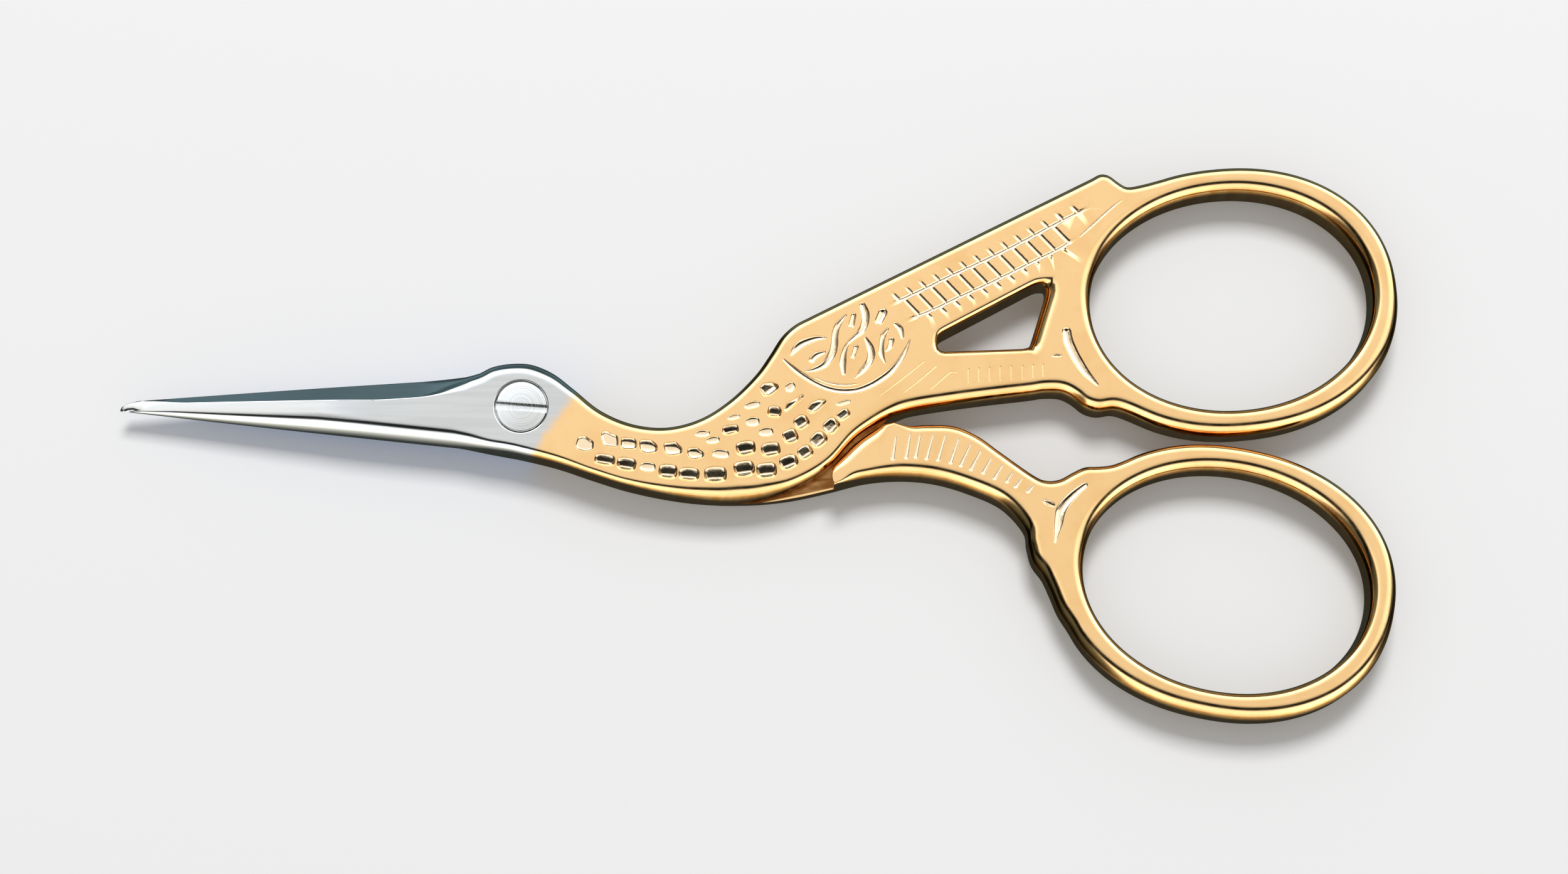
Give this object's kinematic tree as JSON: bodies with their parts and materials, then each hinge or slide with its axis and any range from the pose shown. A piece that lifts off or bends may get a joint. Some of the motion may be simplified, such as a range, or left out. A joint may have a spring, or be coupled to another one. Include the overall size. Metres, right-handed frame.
{
  "type": "embroidery scissors",
  "caption": "Embroidery scissors shaped like a wading bird: slim pointed blades, an S-shaped neck, a stamped wing with a window, a slim leg and oval finger rings, joined by a slotted screw.",
  "frame": {"origin": "on the screw's axis, on the plane that the closed scissors rest on", "axes": "+X from the screw to the finger rings, +Y to the front half's ring, +Z out of the front face, where the screw's slot is"},
  "size_m": [0.1153, 0.0505, 0.0046],
  "materials": {
    "gold_plated_steel": "forged steel, gold plated and polished; blades and head left as bright satin steel",
    "bare_steel": "turned bare steel"
  },
  "bodies": {
    "front": {"front_half": "gold_plated_steel"},
    "back": {"back_half": "gold_plated_steel", "pivot_screw": "bare_steel"}
  },
  "joints": [
    {"name": "blade_pivot", "type": "hinge", "parent": "front", "child": "back", "pos_m": [0, 0, 0], "axis": [0, 0, -1], "range_deg": [0, 80]}
  ]
}
